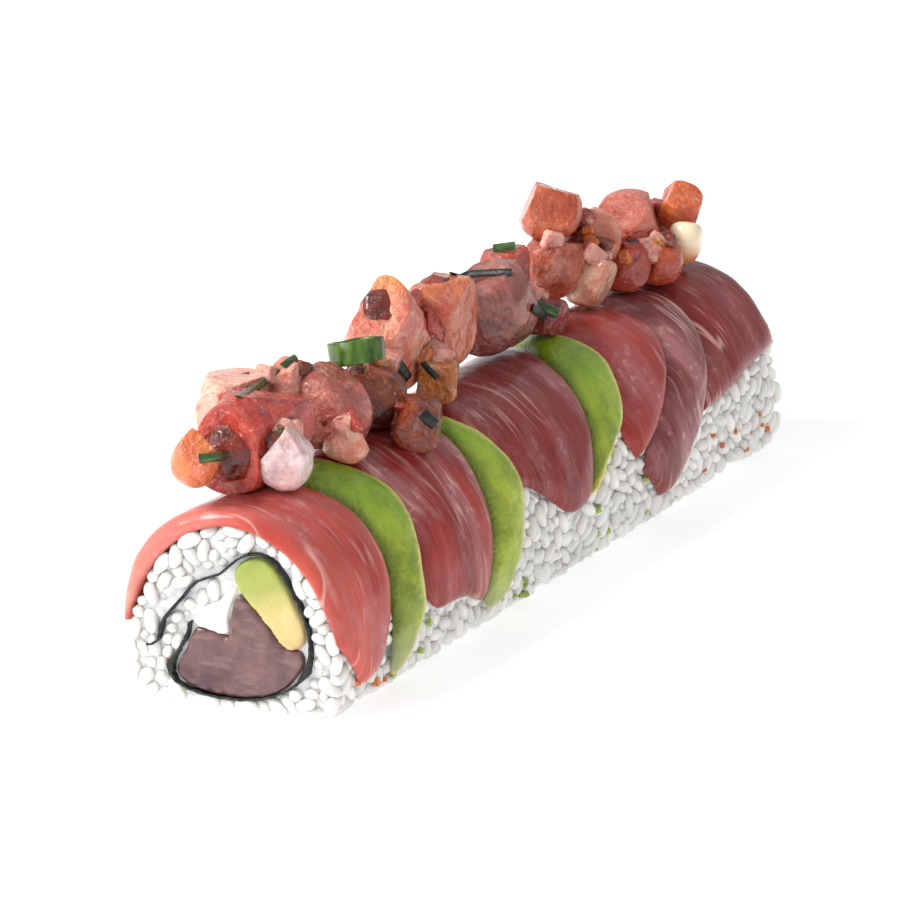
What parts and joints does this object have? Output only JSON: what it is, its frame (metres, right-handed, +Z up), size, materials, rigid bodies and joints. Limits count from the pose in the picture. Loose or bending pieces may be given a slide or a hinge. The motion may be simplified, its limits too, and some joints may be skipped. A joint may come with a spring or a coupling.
{
  "type": "uramaki roll",
  "caption": "Uncut inside-out sushi roll: rice around nori, avocado, fish and cream cheese, under shingled tuna and avocado slices with diced fish heaped along the top.",
  "frame": {"origin": "middle of the bounding box in plan, on the surface the roll rests on", "axes": "+Y along the roll towards its far end, -Y towards the cut end that shows the fillings; +Z up; +X to the side that the slices' longer ends hang down"},
  "size_m": [0.0517, 0.2041, 0.0698],
  "materials": {
    "rice": "satin",
    "nori": "matte",
    "avocado": "satin",
    "raw_fish": "satin",
    "cheese": "satin",
    "tuna": "satin",
    "diced_fish": "gloss",
    "glazed_fish": "gloss",
    "jelly": "gloss",
    "nut": "gloss",
    "spring_onion": "gloss"
  },
  "bodies": {
    "root": {"rice": "rice", "nori": "nori", "avocado_filling": "avocado", "fish_filling": "raw_fish", "cream_cheese": "cheese", "tuna_slice_1": "tuna", "tuna_slice_2": "tuna", "tuna_slice_3": "tuna", "tuna_slice_4": "tuna", "tuna_slice_5": "tuna", "tuna_slice_6": "tuna", "avocado_slice_1": "avocado", "avocado_slice_2": "avocado", "avocado_slice_3": "avocado", "fish_dice_red": "diced_fish", "fish_dice_pink": "diced_fish", "fish_dice_rose": "diced_fish", "fish_dice_end": "diced_fish", "fish_dice_tip": "diced_fish", "jelly_dice": "jelly", "jelly_bead": "jelly", "glazed_dice_brown": "glazed_fish", "glazed_dice_amber": "glazed_fish", "glazed_dice_gold": "glazed_fish", "glazed_dice_dark": "glazed_fish", "fish_lump_large": "diced_fish", "fish_lump_tall": "diced_fish", "fish_dice_mauve": "diced_fish", "fish_dice_crimson": "diced_fish", "fish_dice_shadow": "diced_fish", "fish_crumb_left": "diced_fish", "fish_crumb_base": "diced_fish", "fish_crumb_round": "diced_fish", "fish_crumb_upper": "diced_fish", "fish_crumb_far": "diced_fish", "fish_crumb_low": "diced_fish", "fish_lump_back": "diced_fish", "fish_crumb_right": "diced_fish", "fish_crumb_orange": "diced_fish", "nut": "nut", "fish_crumb_last": "diced_fish", "spring_onion_ring": "spring_onion"}
  },
  "joints": []
}
